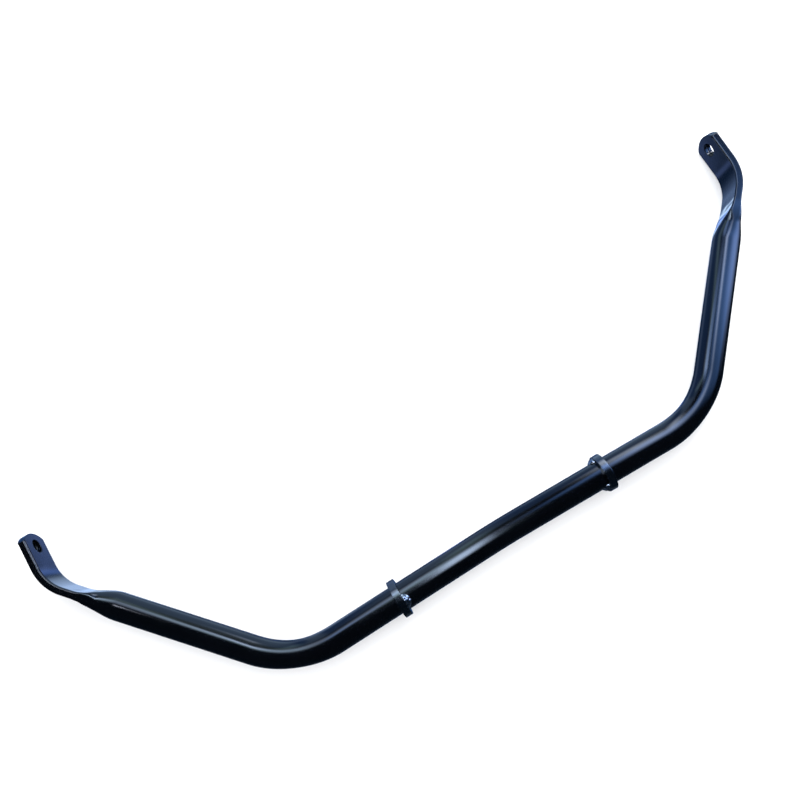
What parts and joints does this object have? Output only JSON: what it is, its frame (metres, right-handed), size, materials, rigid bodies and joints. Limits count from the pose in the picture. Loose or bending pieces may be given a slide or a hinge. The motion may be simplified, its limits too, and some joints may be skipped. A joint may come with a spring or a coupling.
{
  "type": "sway bar",
  "caption": "One-piece bent steel tube torsion bar with pressed flat pierced ends for links and welded rings that stop it sliding sideways in its bushings.",
  "frame": {"origin": "centre of the finished bar's bounding box, in the open space between the arms and on the bend plane", "axes": "+X along the main run, left to right; +Y from the main run towards the eyes; +Z square to the bend plane"},
  "size_m": [0.744, 0.238, 0.0352],
  "materials": {
    "bar_coating": "satin black coating on steel tube",
    "collar_coating": "satin black coating on turned steel ring",
    "weld_coating": "glossy black coating over rough weld metal"
  },
  "bodies": {
    "root": {"bent_tube_bar": "bar_coating", "stop_collar_left": "collar_coating", "stop_collar_right": "collar_coating", "weld_bead_left_upper": "weld_coating", "weld_bead_left_lower": "weld_coating", "weld_bead_right_rear": "weld_coating", "weld_bead_right_front": "weld_coating"}
  },
  "joints": []
}
